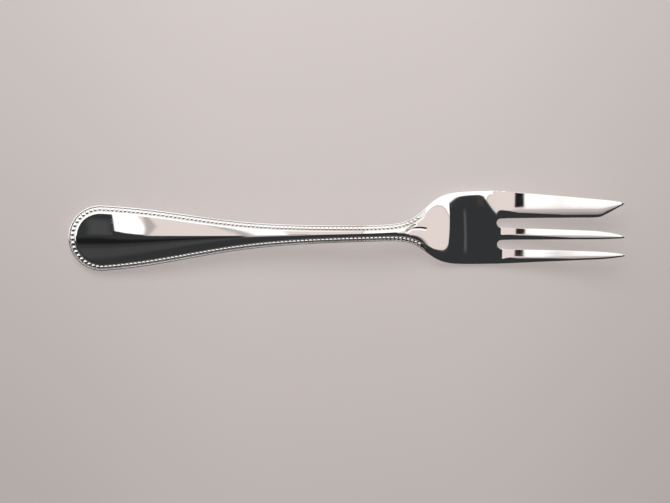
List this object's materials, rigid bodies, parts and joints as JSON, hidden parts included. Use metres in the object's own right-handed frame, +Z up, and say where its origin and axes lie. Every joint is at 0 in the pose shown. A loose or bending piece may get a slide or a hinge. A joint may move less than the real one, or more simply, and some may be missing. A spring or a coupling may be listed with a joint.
{
  "type": "pastry fork",
  "caption": "Polished metal pastry fork with a wide cutting tine, a waisted handle with a beaded border and an arched neck.",
  "frame": {"origin": "on the table, under the middle of the fork's length and width, as it lies with its hollow side up", "axes": "+X from the handle's end to the points, +Y to the side of the cutting tine, +Z up"},
  "size_m": [0.15, 0.02, 0.0107],
  "materials": {
    "polished_metal": "mirror polished stainless steel, slightly warm, with fine wear",
    "bead_metal": "polished domes with darker metal in the channel between them"
  },
  "bodies": {
    "root": {"handle": "polished_metal", "bead_border": "bead_metal", "neck": "polished_metal", "head": "polished_metal", "cutting_tine": "polished_metal", "middle_tine": "polished_metal", "outer_tine": "polished_metal"}
  },
  "joints": []
}
